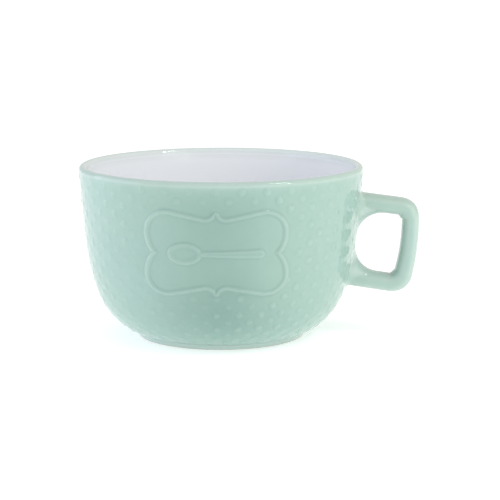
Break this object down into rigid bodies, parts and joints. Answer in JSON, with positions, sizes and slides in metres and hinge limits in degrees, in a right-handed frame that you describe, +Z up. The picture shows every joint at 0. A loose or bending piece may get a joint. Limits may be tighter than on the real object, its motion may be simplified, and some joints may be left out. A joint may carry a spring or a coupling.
{
  "type": "soup mug",
  "caption": "Wide glazed ceramic soup mug with a squared handle, rows of raised dots and a raised bracket frame on the front.",
  "frame": {"origin": "centre of the foot ring, on the plane that the mug stands on and on the bowl's axis", "axes": "+Z up along the bowl's axis; +X from the axis towards the handle; -Y out of the front, where the frame is"},
  "size_m": [0.1685, 0.141, 0.0848],
  "materials": {
    "mint_glaze": "glossy mint glaze over stoneware",
    "white_glaze": "glossy white glaze"
  },
  "bodies": {
    "root": {"bowl": "mint_glaze", "liner_glaze": "white_glaze", "handle": "mint_glaze", "upper_handle_joint": "mint_glaze", "lower_handle_joint": "mint_glaze", "hobnails": "mint_glaze", "label_frame": "mint_glaze", "label_emblem": "mint_glaze"}
  },
  "joints": []
}
